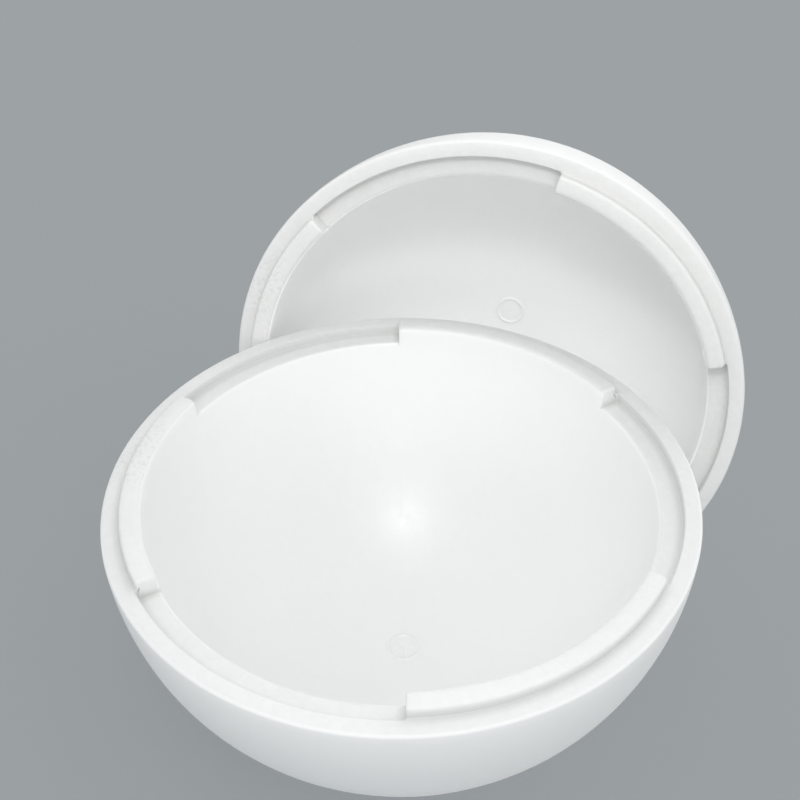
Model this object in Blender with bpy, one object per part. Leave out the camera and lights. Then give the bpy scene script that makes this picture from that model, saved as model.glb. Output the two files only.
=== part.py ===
"""Hollow expanded polystyrene ball for crafts, 300 mm across, laid open as its two matching half shells.

Both halves come out of one mould. Each flat rim carries three raised tongues and, between them, three
rebates that take the tongues of the other half, so a half turned over locks onto its twin.
One half lies on the floor as a bowl. The other stands on its edge behind it and leans on it.
"""
import math

import bmesh
import bpy
from mathutils import Matrix

# Driving sizes, in metres

OUTER_R = 0.150
WALL = 0.020
LAND_W = 0.0087          # flat rim outside the tongues and rebates
TONGUE_H = 0.0050
TONGUE_COUNT = 3
RIM_ROUND = 0.0012       # outer edge of the rim
TONGUE_ROUND = 0.0010    # both top edges of a tongue

# Play between a tongue and the rebate it goes into
SIDE_PLAY = 0.0005
END_PLAY = 0.0010
FLOOR_PLAY = 0.0005

# Raised ring that the steam nozzle leaves inside the shell, at its pole
MARK_R = 0.0088
MARK_W = 0.0012
MARK_H = 0.0004

# How each half lies: its rim's tilt from level, the compass heading of the tilt, the turn about its own axis
FRONT_TILT = math.radians(15.5)
FRONT_HEADING = math.radians(-46.0)
FRONT_TURN = math.radians(12.5)
REAR_TILT = math.radians(87.5)
REAR_HEADING = math.radians(11.0)
REAR_TURN = math.radians(59.0)
LEAN_GAP = 0.0003        # air left where the rear half touches the front one

# Facets
ROUND_STEPS = 72
ARC_STEPS = 14
FILLET_STEPS = 3

# Sizes that follow from these
INNER_R = OUTER_R - WALL
REBATE_R = OUTER_R - LAND_W
TONGUE_R = REBATE_R - SIDE_PLAY
REBATE_D = TONGUE_H + FLOOR_PLAY
NOTCH_ANGLE = math.pi / TONGUE_COUNT + END_PLAY / TONGUE_R
OVERCUT = WALL / 4


def arc(centre_r, centre_z, radius, start, end, steps):
    """Points of an arc in the (radius, height) plane, with angles in radians from level."""
    points = []
    for i in range(steps + 1):
        a = start + (end - start) * i / steps
        points.append((centre_r + radius * math.cos(a), centre_z + radius * math.sin(a)))
    return points


def shell_profile():
    """Half section of a shell with a tongue all round, from the outer pole to the inner pole."""
    level = 0.0
    up = math.pi / 2
    down = -math.pi / 2
    dip = math.asin(RIM_ROUND / (OUTER_R - RIM_ROUND))
    round_r = (OUTER_R - RIM_ROUND) * math.cos(dip)
    top = TONGUE_H - TONGUE_ROUND
    profile = arc(0.0, 0.0, OUTER_R, down, -dip, ARC_STEPS)
    profile += arc(round_r, -RIM_ROUND, RIM_ROUND, -dip, up, FILLET_STEPS)[1:]
    profile.append((TONGUE_R, 0.0))
    profile += arc(TONGUE_R - TONGUE_ROUND, top, TONGUE_ROUND, level, up, FILLET_STEPS)
    profile += arc(INNER_R + TONGUE_ROUND, top, TONGUE_ROUND, up, math.pi, FILLET_STEPS)
    mark_out = math.acos((MARK_R + MARK_W) / INNER_R)
    mark_in = math.acos((MARK_R - MARK_W) / INNER_R)
    profile += arc(0.0, 0.0, INNER_R, level, -mark_out, ARC_STEPS)
    crest = (mark_out + mark_in) / 2
    profile += arc(0.0, 0.0, INNER_R - MARK_H, -crest, -crest, 1)[:1]
    profile += arc(0.0, 0.0, INNER_R, -mark_in, down, 2)
    profile[0] = (0.0, -OUTER_R)
    profile[-1] = (0.0, -INNER_R)
    return profile


def revolve(name, profile):
    """Solid of revolution about +Z."""
    bm = bmesh.new()
    verts = [bm.verts.new((r, 0.0, z)) for r, z in profile]
    edges = [bm.edges.new(pair) for pair in zip(verts, verts[1:])]
    bmesh.ops.spin(bm, geom=verts + edges, cent=(0, 0, 0), axis=(0, 0, 1), angle=2 * math.pi,
                   steps=ROUND_STEPS, use_duplicate=False)
    bmesh.ops.remove_doubles(bm, verts=bm.verts, dist=0.00001)
    bmesh.ops.recalc_face_normals(bm, faces=bm.faces)
    return to_object(name, bm)


def notch_blocks(name):
    """The blocks that clear the tongue away between one tongue and the next, and sink the rebates."""
    bm = bmesh.new()
    steps = round(ROUND_STEPS * NOTCH_ANGLE / (2 * math.pi))
    low = -REBATE_D
    high = TONGUE_H + OVERCUT
    for k in range(TONGUE_COUNT):
        middle = (2 * k + 1) * math.pi / TONGUE_COUNT
        outer = []
        inner = []
        for i in range(steps + 1):
            a = middle + NOTCH_ANGLE * (i / steps - 0.5)
            outer.append((math.cos(a) * REBATE_R, math.sin(a) * REBATE_R))
            inner.append((math.cos(a) * (INNER_R - OVERCUT), math.sin(a) * (INNER_R - OVERCUT)))
        outline = outer + inner[::-1]
        floor = [bm.verts.new((x, y, low)) for x, y in outline]
        roof = [bm.verts.new((x, y, high)) for x, y in outline]
        bm.faces.new(floor[::-1])
        bm.faces.new(roof)
        for i in range(len(outline)):
            j = (i + 1) % len(outline)
            bm.faces.new((floor[i], floor[j], roof[j], roof[i]))
    bmesh.ops.recalc_face_normals(bm, faces=bm.faces)
    return to_object(name, bm)


def to_object(name, bm):
    mesh = bpy.data.meshes.new(name)
    bm.to_mesh(mesh)
    bm.free()
    obj = bpy.data.objects.new(name, mesh)
    bpy.context.collection.objects.link(obj)
    return obj


def cut_away(obj, cutter):
    """Takes the cutter out of the object for good, then removes the cutter."""
    step = obj.modifiers.new("cut", "BOOLEAN")
    step.operation = "DIFFERENCE"
    step.solver = "EXACT"
    step.object = cutter
    bpy.context.view_layer.update()
    solid = obj.evaluated_get(bpy.context.evaluated_depsgraph_get())
    mesh = bpy.data.meshes.new_from_object(solid)
    obj.modifiers.clear()
    obj.data = mesh
    bpy.data.objects.remove(cutter)


def half_shell(name, colour):
    """One half, centred on the origin with its open side up and a tongue centred on +X."""
    obj = revolve(name, shell_profile())
    cut_away(obj, notch_blocks(name + "_notches"))
    obj.data.name = name
    obj.data.shade_smooth()
    obj.data.set_sharp_from_angle(angle=math.radians(35))
    material = bpy.data.materials.new(name + "_foam")
    material.use_nodes = True
    shader = material.node_tree.nodes["Principled BSDF"]
    shader.inputs["Base Color"].default_value = colour
    shader.inputs["Roughness"].default_value = 0.65
    obj.data.materials.clear()
    obj.data.materials.append(material)
    return obj


def lay(obj, tilt, heading, turn):
    """Tips the half over and sets its lowest point on the floor, with its centre on the Z axis."""
    pose = Matrix.Rotation(heading, 4, "Z") @ Matrix.Rotation(tilt, 4, "X") @ Matrix.Rotation(turn, 4, "Z")
    obj.data.transform(pose)
    height = -min(v.co.z for v in obj.data.vertices)
    obj.data.transform(Matrix.Translation((0, 0, height)))
    return height


def lean_distance(rear, height):
    """How far behind the front half's centre the rear half's centre comes when the two just touch.

    Every corner of the rear half is slid along Y until it meets the front half's outer sphere, as long as
    it meets it below the top of the front half's tongues. The corner that meets it first decides.
    """
    reach = OUTER_R + LEAN_GAP
    side = math.sin(FRONT_TILT)
    opening = (side * math.sin(FRONT_HEADING), -side * math.cos(FRONT_HEADING), math.cos(FRONT_TILT))
    distance = 0.0
    for v in rear.data.vertices:
        x, y, z = v.co.x, v.co.y, v.co.z - height
        room = reach * reach - x * x - z * z
        if room <= 0:
            continue
        touch = math.sqrt(room)
        if opening[0] * x + opening[1] * touch + opening[2] * z < TONGUE_H + LEAN_GAP:
            distance = max(distance, touch - y)
    return distance


def main():
    for obj in list(bpy.data.objects):
        bpy.data.objects.remove(obj)
    front = half_shell("front_half", (0.86, 0.87, 0.88, 1.0))
    rear = half_shell("rear_half", (0.85, 0.85, 0.85, 1.0))
    front_height = lay(front, FRONT_TILT, FRONT_HEADING, FRONT_TURN)
    lay(rear, REAR_TILT, REAR_HEADING, REAR_TURN)
    rear.data.transform(Matrix.Translation((0, lean_distance(rear, front_height), 0)))
    corners = [v.co for obj in (front, rear) for v in obj.data.vertices]
    middle_x = (min(c.x for c in corners) + max(c.x for c in corners)) / 2
    middle_y = (min(c.y for c in corners) + max(c.y for c in corners)) / 2
    for obj in (front, rear):
        obj.data.transform(Matrix.Translation((-middle_x, -middle_y, 0)))
        obj.data.update()


main()
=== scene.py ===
"""Looks of a hollow expanded polystyrene craft ball that lies open as its two keyed half shells."""
import math

import bmesh
import bpy
from mathutils import Matrix, Vector, noise


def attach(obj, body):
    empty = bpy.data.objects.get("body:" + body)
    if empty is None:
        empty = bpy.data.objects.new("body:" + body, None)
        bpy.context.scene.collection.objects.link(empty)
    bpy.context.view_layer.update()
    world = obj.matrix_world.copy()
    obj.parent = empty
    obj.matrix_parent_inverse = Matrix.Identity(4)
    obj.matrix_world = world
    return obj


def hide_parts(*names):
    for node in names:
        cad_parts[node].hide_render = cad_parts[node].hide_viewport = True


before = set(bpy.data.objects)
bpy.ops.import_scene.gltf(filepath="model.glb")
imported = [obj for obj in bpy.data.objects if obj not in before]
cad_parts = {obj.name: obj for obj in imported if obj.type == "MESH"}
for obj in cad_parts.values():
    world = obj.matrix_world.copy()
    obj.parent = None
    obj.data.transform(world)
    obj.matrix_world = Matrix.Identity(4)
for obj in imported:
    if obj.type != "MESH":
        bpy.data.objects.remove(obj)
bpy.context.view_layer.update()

# Sizes of a half shell, in metres
SHELL_R = 0.1497
WALL = 0.0200
LAND_W = 0.0087
TONGUE_H = 0.0050
REBATE_D = 0.0055
SIDE_PLAY = 0.0005
END_PLAY = 0.0010
INNER_R = SHELL_R - WALL
REBATE_R = SHELL_R - LAND_W
TONGUE_R = REBATE_R - SIDE_PLAY

# Roundings of its edges
OUTER_EDGE = 0.0014
TONGUE_OUTER_EDGE = 0.0018
TONGUE_INNER_EDGE = 0.0030
TONGUE_END_EDGE = 0.0012
REBATE_FLOOR_EDGE = 0.0006
REBATE_INNER_EDGE = 0.0018
REBATE_END_EDGE = 0.0009

# Corner rounding in plan at the two ends of each tongue, clockwise end first
FRONT_ENDS = ((0.0007, 0.0034), (0.0030, 0.0007), (0.0016, 0.0020))
REAR_ENDS = ((0.0030, 0.0010), (0.0016, 0.0016), (0.0016, 0.0016))

# Raised ring and low dome that the steam nozzle leaves at the inner pole
MARK_R = 0.0108
RING_R = 0.0086
RING_H = 0.00070
RING_W = 0.0008
DOME_R = 0.0055
DOME_H = 0.00020

# Heights on the inner wall: below a rebate's edge, and where the sections over the rim end
WALL_BELOW_REBATE = -REBATE_D - 0.0028
WALL_FOOT = -0.018

# Distances from an end of a tongue or a rebate that get a section of their own
NEAR_END = (0.0, 0.00012, 0.0004, 0.0008, 0.0014, 0.0022, 0.0032, 0.0043)
STEPS_ALONG = 46
END_FACE = 0.00004

# Out-of-true of moulded foam, along the surface's normal
SLOW_SWELL = 0.00012
BEAD_RELIEF = 0.00005
MOST_OUTWARD = 0.00005

# How each half lies: centre, tilt of the rim, heading of the tilt, turn about its own axis
FRONT_POSE = ((0.00006, -0.05672, 0.14982), 15.5, -46.0, 12.5)
REAR_POSE = ((0.00006, 0.05394, 0.14988), 87.5, 11.0, 59.0)


# Shape of the half shells

def arc(centre_r, centre_z, radius, start, end, steps):
    """Points of an arc in the (radius, height) plane, angles in degrees."""
    points = []
    for i in range(steps + 1):
        a = math.radians(start + (end - start) * i / steps)
        points.append((centre_r + radius * math.cos(a), centre_z + radius * math.sin(a)))
    return points


def blend_points(first, last, steps):
    """Evenly spaced points from first to last, without first."""
    points = []
    for i in range(1, steps + 1):
        t = i / steps
        points.append((first[0] + (last[0] - first[0]) * t, first[1] + (last[1] - first[1]) * t))
    return points


def inner_wall_r(z):
    """Radius of the inner wall at a height."""
    return math.sqrt(INNER_R ** 2 - z ** 2)


def rim_section(outer_r, height, inner_cut):
    """Section from the land's edge over a tongue, or down into a rebate, to the foot of the inner wall.

    A tongue has a positive height and a rebate a negative one. Every section has as many points as any
    other, so that the sections join into one skin.
    """
    if height > 0:
        inner_r = INNER_R + inner_cut
        soft = min(TONGUE_OUTER_EDGE, height * 0.4)
        inside = min(TONGUE_INNER_EDGE, height * 0.7)
        top = [(outer_r + 0.0004, 0.0), (outer_r, 0.0003)]
        top += blend_points(top[-1], (outer_r, height - soft), 2)
        top += arc(outer_r - soft, height - soft, soft, 0, 90, 4)[1:]
        top += blend_points(top[-1], (inner_r + inside, height), 4)
        top += arc(inner_r + inside, height - inside, inside, 90, 180, 5)[1:]
        top += [(inner_r, 0.0002 + inner_cut * 0.02), (INNER_R + inner_cut * 0.15, 0.0)]
        levels = [-0.0028, -0.0056, WALL_BELOW_REBATE]
    else:
        soft = REBATE_FLOOR_EDGE
        inside = REBATE_INNER_EDGE
        inner_r = inner_wall_r(height - inside)
        top = [(outer_r + 0.0004, 0.0), (outer_r, -0.0004)]
        top += blend_points(top[-1], (outer_r, height + soft), 2)
        top += arc(outer_r - soft, height + soft, soft, 0, -90, 4)[1:]
        top += blend_points(top[-1], (inner_r + inside, height), 4)
        top += arc(inner_r + inside, height - inside, inside, 90, 180, 5)[1:]
        levels = [height - inside - 0.0002 * i for i in range(1, 6)]
    last = levels[-1]
    levels += [last + (WALL_FOOT - last) * i / 8 for i in range(1, 9)]
    return top + [(inner_wall_r(z), z) for z in levels]


def outer_section():
    """Section from the outer pole up to the inner part of the land."""
    dip = math.degrees(math.asin(OUTER_EDGE / (SHELL_R - OUTER_EDGE)))
    round_r = (SHELL_R - OUTER_EDGE) * math.cos(math.radians(dip))
    section = arc(0.0, 0.0, SHELL_R, -90, -dip, 52)
    section[0] = (0.0, -SHELL_R)
    section += arc(round_r, -OUTER_EDGE, OUTER_EDGE, -dip, 90, 6)[1:]
    return section + blend_points(section[-1], (REBATE_R + 0.0008, 0.0), 4)


def inner_section():
    """Section from the foot of the inner wall down to the inner pole, with the nozzle's mark."""
    start = math.degrees(math.asin(WALL_FOOT / INNER_R))
    mark = math.degrees(math.acos(MARK_R / INNER_R))
    section = arc(0.0, 0.0, INNER_R, start, -mark, 46)[1:]
    for i in range(1, 25):
        r = MARK_R - i * MARK_R / 24
        lift = RING_H * math.exp(-((r - RING_R) / RING_W) ** 2) + DOME_H * math.exp(-(r / DOME_R) ** 4)
        section.append((r, -math.sqrt(INNER_R ** 2 - r * r) + lift))
    section[-1] = (0.0, section[-1][1])
    return section


def end_slope(distance, rounding):
    """How far a corner of that rounding has fallen back at a distance from the end face."""
    if distance >= rounding:
        return 0.0
    return rounding - math.sqrt(rounding ** 2 - (rounding - distance) ** 2)


def places_along(reach):
    """Places from one end to the other of a tongue or a rebate, closer together at its ends."""
    inside = reach - NEAR_END[-1]
    places = [-reach + d for d in NEAR_END]
    places += [-inside + 2 * inside * i / STEPS_ALONG for i in range(1, STEPS_ALONG)]
    return places + [reach - d for d in reversed(NEAR_END)]


def section_stops(ends):
    """(angle, section over the rim) all the way round the shell."""
    tongue_half = (math.pi / 3 - END_PLAY / TONGUE_R) / 2
    tongue_reach = tongue_half * TONGUE_R
    rebate_reach = (math.pi / 3 - tongue_half) * TONGUE_R - END_FACE
    stops = []
    for k in range(3):
        middle = 2 * math.pi * k / 3
        for place in places_along(tongue_reach):
            distance = tongue_reach - abs(place)
            drop = end_slope(distance, TONGUE_END_EDGE)
            back = end_slope(distance, ends[k][1] if place > 0 else ends[k][0])
            section = rim_section(TONGUE_R - back, TONGUE_H - drop, back * 0.3)
            stops.append((middle + place / TONGUE_R, section))
        rebate_middle = middle + math.pi / 3
        for place in places_along(rebate_reach):
            back = end_slope(rebate_reach - abs(place), REBATE_END_EDGE)
            section = rim_section(REBATE_R - back, -REBATE_D, 0.0)
            stops.append((rebate_middle + place / TONGUE_R, section))
    return stops


def uneven(point, seed):
    """Small out-of-true of moulded foam at a point, in metres along the surface's normal."""
    slow = noise.noise(Vector((point.x * 26 + seed, point.y * 26, point.z * 26)))
    beads = noise.noise(Vector((point.x * 240, point.y * 240 + seed, point.z * 240)))
    return min(slow * SLOW_SWELL + beads * BEAD_RELIEF, MOST_OUTWARD)


def laid(pose):
    """Matrix from a half's own frame, rim up, to where it lies."""
    centre, tilt, heading, turn = pose
    lay = Matrix.Translation(centre) @ Matrix.Rotation(math.radians(heading), 4, "Z")
    return lay @ Matrix.Rotation(math.radians(tilt), 4, "X") @ Matrix.Rotation(math.radians(turn), 4, "Z")


def half_shell(name, pose, ends, seed):
    """One moulded half: outer skin, keyed rim and inner skin as one closed mesh, laid as it lies."""
    stops = section_stops(ends)
    outer = outer_section()
    inner = inner_section()
    bm = bmesh.new()
    outer_pole = bm.verts.new((0.0, 0.0, outer[0][1]))
    inner_pole = bm.verts.new((0.0, 0.0, inner[-1][1]))
    columns = []
    for angle, rim in stops:
        c, s = math.cos(angle), math.sin(angle)
        section = outer[1:] + rim + inner[:-1]
        columns.append([bm.verts.new((r * c, r * s, z)) for r, z in section])
    # The narrow faces beside a tongue's end stay true, or their shading would break
    beside_ends = set()
    for i, column in enumerate(columns):
        following = (i + 1) % len(columns)
        step = (stops[following][0] - stops[i][0]) % (2 * math.pi)
        if step * TONGUE_R < 0.0003:
            beside_ends.update(column + columns[following])
    for i, column in enumerate(columns):
        following = columns[(i + 1) % len(columns)]
        bm.faces.new((outer_pole, following[0], column[0]))
        for j in range(len(column) - 1):
            bm.faces.new((column[j], following[j], following[j + 1], column[j + 1]))
        bm.faces.new((column[-1], following[-1], inner_pole))
    bmesh.ops.recalc_face_normals(bm, faces=bm.faces)
    bm.normal_update()
    moves = [(v, v.normal.copy() * uneven(v.co, seed)) for v in bm.verts if v not in beside_ends]
    for v, move in moves:
        v.co += move
    bm.transform(laid(pose))
    mesh = bpy.data.meshes.new(name)
    bm.to_mesh(mesh)
    bm.free()
    mesh.shade_smooth()
    mesh.set_sharp_from_angle(angle=math.radians(40))
    shell = bpy.data.objects.new(name, mesh)
    bpy.context.collection.objects.link(shell)
    return shell


# Shader maths

class Value:
    """A number that varies over a surface, with Python's operators."""

    def __init__(self, finish, socket):
        self.finish = finish
        self.socket = socket

    def math(self, operation, *others):
        node = self.finish.node("ShaderNodeMath", {"operation": operation})
        for i, item in enumerate((self,) + others):
            self.finish.feed(node.inputs[i], item)
        return Value(self.finish, node.outputs[0])

    def __add__(self, other):
        return self.math("ADD", other)

    def __mul__(self, other):
        return self.math("MULTIPLY", other)

    def __sub__(self, other):
        return self.math("SUBTRACT", other)

    def __rsub__(self, other):
        return (self * -1) + other

    __radd__ = __add__
    __rmul__ = __mul__

    def ramp(self, low, high):
        """0 at low, 1 at high, smooth between them."""
        stops = {"Value": self, "From Min": low, "From Max": high}
        node = self.finish.node("ShaderNodeMapRange", {"interpolation_type": "SMOOTHSTEP"}, stops)
        return Value(self.finish, node.outputs["Result"])


class Finish:
    """One material under construction."""

    def __init__(self, name, roughness, specular):
        self.material = bpy.data.materials.new(name)
        self.material.use_nodes = True
        self.tree = self.material.node_tree
        self.shader = self.tree.nodes["Principled BSDF"]
        self.shader.inputs["Roughness"].default_value = roughness
        self.shader.inputs["Specular IOR Level"].default_value = specular

    def feed(self, socket, item):
        if isinstance(item, Value):
            self.tree.links.new(item.socket, socket)
        elif isinstance(item, bpy.types.NodeSocket):
            self.tree.links.new(item, socket)
        else:
            socket.default_value = item

    def node(self, kind, settings=None, sockets=None):
        node = self.tree.nodes.new(kind)
        for key, value in (settings or {}).items():
            setattr(node, key, value)
        for key, item in (sockets or {}).items():
            self.feed(node.inputs[key], item)
        return node

    def value(self, kind, output, settings=None, sockets=None):
        return Value(self, self.node(kind, settings, sockets).outputs[output])

    def vector_maths(self, operation, *vectors):
        return self.node("ShaderNodeVectorMath", {"operation": operation}, dict(enumerate(vectors))).outputs

    def mix(self, factor, first, second):
        """A colour between two colours."""
        node = self.node("ShaderNodeMix", {"data_type": "RGBA"})
        self.feed(node.inputs[0], factor)
        self.feed(node.inputs[6], first)
        self.feed(node.inputs[7], second)
        return node.outputs[2]


# Moulded foam

# The first two greys are painted shade, for inner corners and along the tongues' outer faces; the third is
# the grey of real wear
CREASE_SHADE_GREY = (0.62, 0.62, 0.61, 1.0)
ROOT_SHADE_GREY = (0.30, 0.30, 0.295, 1.0)
WORN_GREY = (0.45, 0.45, 0.44, 1.0)


def moulded_foam(name, pose, tone, shade, rim_tone_and_shade, outer_tone_and_shade, worn_spot):
    """White polystyrene foam: bead cells pressed flat in the mould, brightest on the smooth inner skin; the
    darker rim and outer skin are partly duller mould faces and partly painted shade.
    """
    finish = Finish(name, 0.5, 0.65)
    finish.shader.inputs["Subsurface Weight"].default_value = 0.35
    finish.shader.inputs["Subsurface Radius"].default_value = (1.0, 1.0, 1.0)
    finish.shader.inputs["Subsurface Scale"].default_value = 0.03
    own_frame = {"Location": laid(pose).to_translation(), "Rotation": laid(pose).to_euler()}
    own_frame["Vector"] = finish.node("ShaderNodeTexCoord").outputs["Object"]
    place = finish.node("ShaderNodeMapping", {"vector_type": "TEXTURE"}, own_frame).outputs["Vector"]

    # Bead cells, the grain on them and the slow change of tone
    cells = finish.node("ShaderNodeTexVoronoi", {"feature": "F1"}, {"Vector": place, "Scale": 290.0})
    bead_tone = finish.value("ShaderNodeSeparateColor", "Red", None, {"Color": cells.outputs["Color"]})
    bead = 1.0 - Value(finish, cells.outputs["Distance"])
    fine = {"Vector": place, "Scale": 1500.0, "Detail": 1.0}
    grain = finish.value("ShaderNodeTexNoise", "Fac", None, fine)
    slow = {"Vector": place, "Scale": 22.0, "Detail": 1.0}
    cloud = finish.value("ShaderNodeTexNoise", "Fac", None, slow)

    # The outer skin together with the rim, and the rim alone
    out = Value(finish, finish.vector_maths("LENGTH", place)["Value"])
    outside = out.ramp(INNER_R + 0.0004, INNER_R + 0.0014)
    # The rim's mask fades out along the land's outer edge and its rounding, which take the outer skin's
    # tone: on the front half a painted highlight line along that edge
    rim = outside * (1.0 - out.ramp(SHELL_R - 0.0018, SHELL_R - 0.0003))

    # Pits of a worn patch on the rim
    away = Value(finish, finish.vector_maths("DISTANCE", place, worn_spot)["Value"])
    patchy = {"Vector": place, "Scale": 430.0, "Detail": 2.0}
    rubbed = finish.value("ShaderNodeTexNoise", "Fac", None, patchy)
    pits = rubbed.ramp(0.52, 0.64) * (1.0 - away.ramp(0.010, 0.034)) * rim

    # Colour
    light = bead * 0.20 + bead_tone * 0.35 + cloud * 0.45 - pits * 0.5
    skin = finish.mix(light, shade, tone)
    # The rim and the outer skin take darker tones than the inner skin, partly for the duller mould faces
    # and partly as painted shade
    rim_shade = [channel * 0.93 for channel in rim_tone_and_shade[:3]] + [1.0]
    rim_skin = finish.mix(light, rim_shade, rim_tone_and_shade)
    faces = finish.mix(rim, finish.mix(outside, skin, outer_tone_and_shade), rim_skin)
    faces = finish.mix(pits * 0.13, faces, WORN_GREY)

    # Painted shade: a darker band on the lower part of the tongues' outer faces and the upper part of the
    # rebates' outer walls, and darker inner corners
    flat_place = finish.vector_maths("MULTIPLY", place, (1.0, 1.0, 0.0))["Vector"]
    across = Value(finish, finish.vector_maths("LENGTH", flat_place)["Value"])
    height = finish.value("ShaderNodeSeparateXYZ", "Z", None, {"Vector": place}).math("ABSOLUTE")
    # Painted shade: a darker band about a millimetre either side of the tongues' outer faces, up to 3.8 mm
    # from the land, which also takes in the rebates' outer walls
    painted_root_shade = 1.0 - (across - (TONGUE_R + 0.0001)).math("ABSOLUTE").ramp(0.0005, 0.0013)
    painted_root_shade = painted_root_shade * (1.0 - height.ramp(0.0038, 0.0054)) * 0.18
    # Painted shade: inner corners turn grey where other faces within 4.5 mm close them in
    near_faces = {"samples": 3, "only_local": True}
    open_air = finish.value("ShaderNodeAmbientOcclusion", "AO", near_faces, {"Distance": 0.0045})
    painted_crease_shade = open_air.ramp(0.45, 0.95)
    faces = finish.mix(painted_root_shade, faces, ROOT_SHADE_GREY)
    finish.feed(finish.shader.inputs["Base Color"], finish.mix(painted_crease_shade, CREASE_SHADE_GREY, faces))

    # Sheen and relief
    skin_roughness = 0.30 + bead_tone * 0.08 + grain * 0.06
    finish.feed(finish.shader.inputs["Roughness"], skin_roughness + outside * 0.28)
    depth = (bead * 0.9 + bead_tone * 0.45 + grain * 0.35) * (0.6 + rim * 1.3) - pits * 2.6
    bump = finish.node("ShaderNodeBump", None, {"Strength": 0.30, "Distance": 0.00025, "Height": depth})
    finish.feed(finish.shader.inputs["Normal"], bump.outputs["Normal"])
    return finish.material


# The two halves

front_shell = half_shell("front_shell", FRONT_POSE, FRONT_ENDS, 3.0)
rear_shell = half_shell("rear_shell", REAR_POSE, REAR_ENDS, 11.0)
# The front half's rim and outer tones, darker than its inner tone, are partly duller mould faces and partly
# painted shade
front_foam = moulded_foam(
    "cool_white_foam", FRONT_POSE,
    tone=(0.965, 0.97, 0.966, 1.0), shade=(0.945, 0.95, 0.946, 1.0),
    rim_tone_and_shade=(0.845, 0.85, 0.845, 1.0), outer_tone_and_shade=(0.93, 0.935, 0.93, 1.0),
    worn_spot=(-0.0856, -0.1057, 0.005))
# Painted shade: the rear half's rim and outer skin get far darker tones than the front half's, though both
# are the same foam
rear_foam = moulded_foam(
    "white_foam", REAR_POSE,
    tone=(0.97, 0.971, 0.965, 1.0), shade=(0.95, 0.951, 0.945, 1.0),
    rim_tone_and_shade=(0.64, 0.64, 0.632, 1.0), outer_tone_and_shade=(0.62, 0.622, 0.62, 1.0),
    worn_spot=(-0.052, 0.126, 0.005))
front_shell.data.materials.append(front_foam)
rear_shell.data.materials.append(rear_foam)
for piece, node in ((front_shell, "front_half"), (rear_shell, "rear_half")):
    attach(piece, "root")
    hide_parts(node)


# Floor

FLOOR_PAINT = (0.62, 0.655, 0.68, 1.0)
FLOOR_SEEN = (0.2946, 0.3131, 0.3263, 1.0)
FLOOR_SEEN_SHARE = 0.68


def studio_floor():
    """Plain grey floor that shows one even grey to the camera, with the ball's soft shadow on it."""
    bm = bmesh.new()
    bmesh.ops.create_grid(bm, x_segments=1, y_segments=1, size=8.0)
    mesh = bpy.data.meshes.new("studio_floor")
    bm.to_mesh(mesh)
    bm.free()
    floor = bpy.data.objects.new("studio_floor", mesh)
    bpy.context.collection.objects.link(floor)
    paint = Finish("plain_grey_floor", 0.9, 0.1)
    paint.feed(paint.shader.inputs["Base Color"], FLOOR_PAINT)
    even = paint.node("ShaderNodeEmission", None, {"Color": FLOOR_SEEN})
    ray = paint.node("ShaderNodeLightPath")
    seen = Value(paint, ray.outputs["Is Camera Ray"]) + ray.outputs["Is Glossy Ray"]
    seen = seen + ray.outputs["Is Transmission Ray"]
    share = seen.math("MINIMUM", 1.0) * FLOOR_SEEN_SHARE
    blend = paint.node("ShaderNodeMixShader", None, {"Fac": share})
    paint.feed(blend.inputs[1], paint.shader.outputs[0])
    paint.feed(blend.inputs[2], even.outputs[0])
    paint.feed(paint.tree.nodes["Material Output"].inputs["Surface"], blend.outputs[0])
    mesh.materials.append(paint.material)
    return floor


studio_floor()


# Light and camera

BALL_MIDDLE = Vector((0.0, 0.0, 0.15))


def shine(name, kind, power, size, place, *lit):
    """A lamp on the given pieces alone, from a place towards the ball's middle.

    Its size is a disk's width in metres, or a sun's width in degrees.
    """
    lamp = bpy.data.lights.new(name, kind)
    lamp.energy = power
    if kind == "SUN":
        lamp.angle = math.radians(size)
    else:
        lamp.shape = "DISK"
        lamp.size = size
    obj = bpy.data.objects.new(name, lamp)
    obj.location = place
    obj.rotation_euler = (obj.location - BALL_MIDDLE).to_track_quat("Z", "Y").to_euler()
    bpy.context.collection.objects.link(obj)
    lit_pieces = bpy.data.collections.new(name + "_lit")
    for piece in lit:
        lit_pieces.objects.link(piece)
    obj.light_linking.receiver_collection = lit_pieces


shine("flash", "AREA", 1.0, 0.09, (0.005, -0.42, 0.65), front_shell, rear_shell)
shine("soft_box", "AREA", 0.3, 0.25, (0.12, -0.90, 0.78), front_shell, rear_shell)
shine("low_fill", "SUN", 0.70, 40, (0.42, -0.90, 0.18), front_shell, rear_shell)
shine("back_fill", "SUN", 1.2, 60, (0.0, 0.90, 0.57), front_shell, rear_shell)
shine("bowl_fill", "SUN", 1.4, 50, (0.0, -0.60, 0.80), rear_shell)
world = bpy.data.worlds.new("soft_room")
bpy.context.scene.world = world
world.use_nodes = True
world.node_tree.nodes["Background"].inputs["Color"].default_value = (0.985, 1.0, 1.0, 1.0)
world.node_tree.nodes["Background"].inputs["Strength"].default_value = 0.70

camera_data = bpy.data.cameras.new("camera")
camera_data.sensor_width = 36.0
camera_data.lens = 49.5
camera = bpy.data.objects.new("camera", camera_data)
camera.location = (0.11327, -0.49161, 0.48348)
camera.rotation_euler = [math.radians(a) for a in (56.406, -14.015, 25.327)]
bpy.context.collection.objects.link(camera)
bpy.context.scene.camera = camera
bpy.context.scene.view_settings.view_transform = "Standard"
